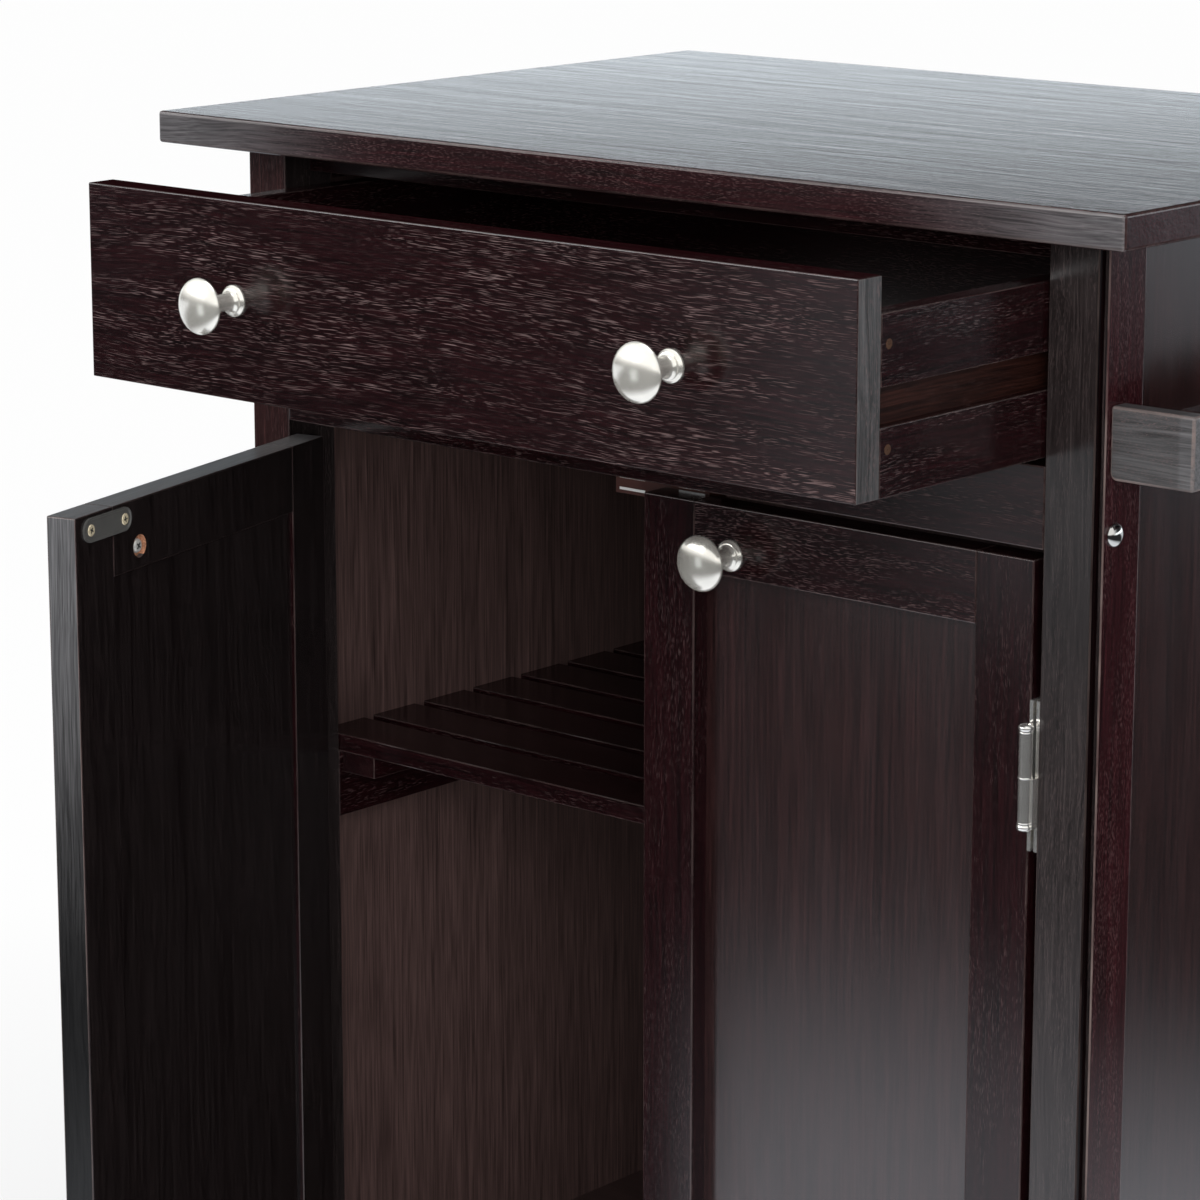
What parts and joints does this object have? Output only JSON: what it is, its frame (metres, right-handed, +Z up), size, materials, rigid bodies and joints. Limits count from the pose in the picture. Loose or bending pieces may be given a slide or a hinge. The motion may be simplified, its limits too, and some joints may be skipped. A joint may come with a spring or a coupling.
{
  "type": "kitchen cart",
  "caption": "Small kitchen cart with an overhanging worktop, a drawer, two framed doors, a slatted shelf, a side towel handle and swivelling casters.",
  "frame": {"origin": "on the floor, below the middle of the whole cart as it rests with drawer and left door open", "axes": "+Z up from the floor to the worktop, +X towards the side handle, the doors face -Y"},
  "size_m": [0.673, 0.6842, 0.864],
  "materials": {
    "worktop_wood": "satin lacquer",
    "dark_wood": "satin lacquer",
    "raw_wood": "matt",
    "satin_nickel": "satin",
    "hinge_steel": "satin",
    "bright_steel": "polished",
    "zinc_steel": "satin",
    "fork_steel": "satin",
    "wheel_rubber": "matt",
    "black_plastic": "matt",
    "brown_plastic": "matt"
  },
  "bodies": {
    "cabinet": {"worktop": "worktop_wood", "front_posts": "dark_wood", "rear_posts": "dark_wood", "side_panels": "dark_wood", "side_top_rails": "dark_wood", "side_shelf_rails": "dark_wood", "side_bottom_rails": "dark_wood", "front_top_rail": "dark_wood", "drawer_rail": "dark_wood", "front_bottom_rail": "dark_wood", "back_panel": "dark_wood", "back_rails": "dark_wood", "cupboard_floor": "dark_wood", "drawer_runners": "dark_wood", "shelf_slats": "dark_wood", "shelf_battens": "dark_wood", "catch_case": "brown_plastic", "catch_poles": "zinc_steel", "hinge_frame_leaves": "hinge_steel", "hinge_pins": "hinge_steel", "frame_bolts": "bright_steel", "handle_brackets": "dark_wood", "handle_rail": "dark_wood", "frame_screws": "zinc_steel", "caster_stems": "zinc_steel", "stem_inserts": "zinc_steel"},
    "drawer": {"drawer_front": "dark_wood", "drawer_box_front": "dark_wood", "drawer_sides": "dark_wood", "drawer_back": "dark_wood", "drawer_bottom": "dark_wood", "drawer_knobs": "satin_nickel", "drawer_knob_screws": "zinc_steel", "drawer_pins": "raw_wood"},
    "left_door": {"left_door_frame": "dark_wood", "left_door_panel": "dark_wood", "left_door_knob": "satin_nickel", "left_door_screws": "zinc_steel", "left_strike_plate": "zinc_steel", "left_hinge_leaves": "hinge_steel"},
    "right_door": {"right_door_frame": "dark_wood", "right_door_panel": "dark_wood", "right_door_knob": "satin_nickel", "right_door_screws": "zinc_steel", "right_strike_plate": "zinc_steel", "right_hinge_leaves": "hinge_steel"},
    "fork_front_left": {"fork_front_left": "fork_steel", "axles_front_left": "bright_steel"},
    "wheel_front_left": {"wheel_front_left": "wheel_rubber"},
    "fork_front_right": {"fork_front_right": "fork_steel", "axles_front_right": "bright_steel"},
    "wheel_front_right": {"wheel_front_right": "wheel_rubber"},
    "fork_rear_left": {"fork_rear_left": "fork_steel", "axles_rear_left": "bright_steel"},
    "wheel_rear_left": {"wheel_rear_left": "wheel_rubber"},
    "fork_rear_right": {"fork_rear_right": "fork_steel", "axles_rear_right": "bright_steel"},
    "wheel_rear_right": {"wheel_rear_right": "wheel_rubber"},
    "brake_left": {"brake_left": "black_plastic"},
    "brake_right": {"brake_right": "black_plastic"}
  },
  "joints": [
    {"name": "drawer_slide", "type": "slide", "parent": "cabinet", "child": "drawer", "axis": [0, -1, 0], "range_m": [-0.15, 0.1]},
    {"name": "left_door_hinge", "type": "hinge", "parent": "cabinet", "child": "left_door", "pos_m": [-0.2652, -0.09706, 0.41], "axis": [0, 0, -1], "range_deg": [-75.5, 104.5]},
    {"name": "right_door_hinge", "type": "hinge", "parent": "cabinet", "child": "right_door", "pos_m": [0.2522, -0.09706, 0.41], "axis": [0, 0, 1], "range_deg": [0, 180]},
    {"name": "swivel_front_left", "type": "hinge", "parent": "cabinet", "child": "fork_front_left", "pos_m": [-0.28575, -0.07436, 0.0715], "axis": [0, 0, 1], "continuous": true},
    {"name": "spin_front_left", "type": "hinge", "parent": "fork_front_left", "child": "wheel_front_left", "pos_m": [-0.28575, -0.05436, 0.03], "axis": [1, 0, 0], "continuous": true},
    {"name": "swivel_front_right", "type": "hinge", "parent": "cabinet", "child": "fork_front_right", "pos_m": [0.27275, -0.07436, 0.0715], "axis": [0, 0, 1], "continuous": true},
    {"name": "spin_front_right", "type": "hinge", "parent": "fork_front_right", "child": "wheel_front_right", "pos_m": [0.27275, -0.05436, 0.03], "axis": [1, 0, 0], "continuous": true},
    {"name": "swivel_rear_left", "type": "hinge", "parent": "cabinet", "child": "fork_rear_left", "pos_m": [-0.28575, 0.28864, 0.0715], "axis": [0, 0, 1], "continuous": true},
    {"name": "spin_rear_left", "type": "hinge", "parent": "fork_rear_left", "child": "wheel_rear_left", "pos_m": [-0.28575, 0.30864, 0.03], "axis": [1, 0, 0], "continuous": true},
    {"name": "swivel_rear_right", "type": "hinge", "parent": "cabinet", "child": "fork_rear_right", "pos_m": [0.27275, 0.28864, 0.0715], "axis": [0, 0, 1], "continuous": true},
    {"name": "spin_rear_right", "type": "hinge", "parent": "fork_rear_right", "child": "wheel_rear_right", "pos_m": [0.27275, 0.30864, 0.03], "axis": [1, 0, 0], "continuous": true},
    {"name": "brake_left_press", "type": "hinge", "parent": "fork_front_left", "child": "brake_left", "pos_m": [-0.28575, -0.04636, 0.065], "axis": [1, 0, 0], "range_deg": [-14, 0]},
    {"name": "brake_right_press", "type": "hinge", "parent": "fork_front_right", "child": "brake_right", "pos_m": [0.27275, -0.04636, 0.065], "axis": [1, 0, 0], "range_deg": [-14, 0]}
  ]
}
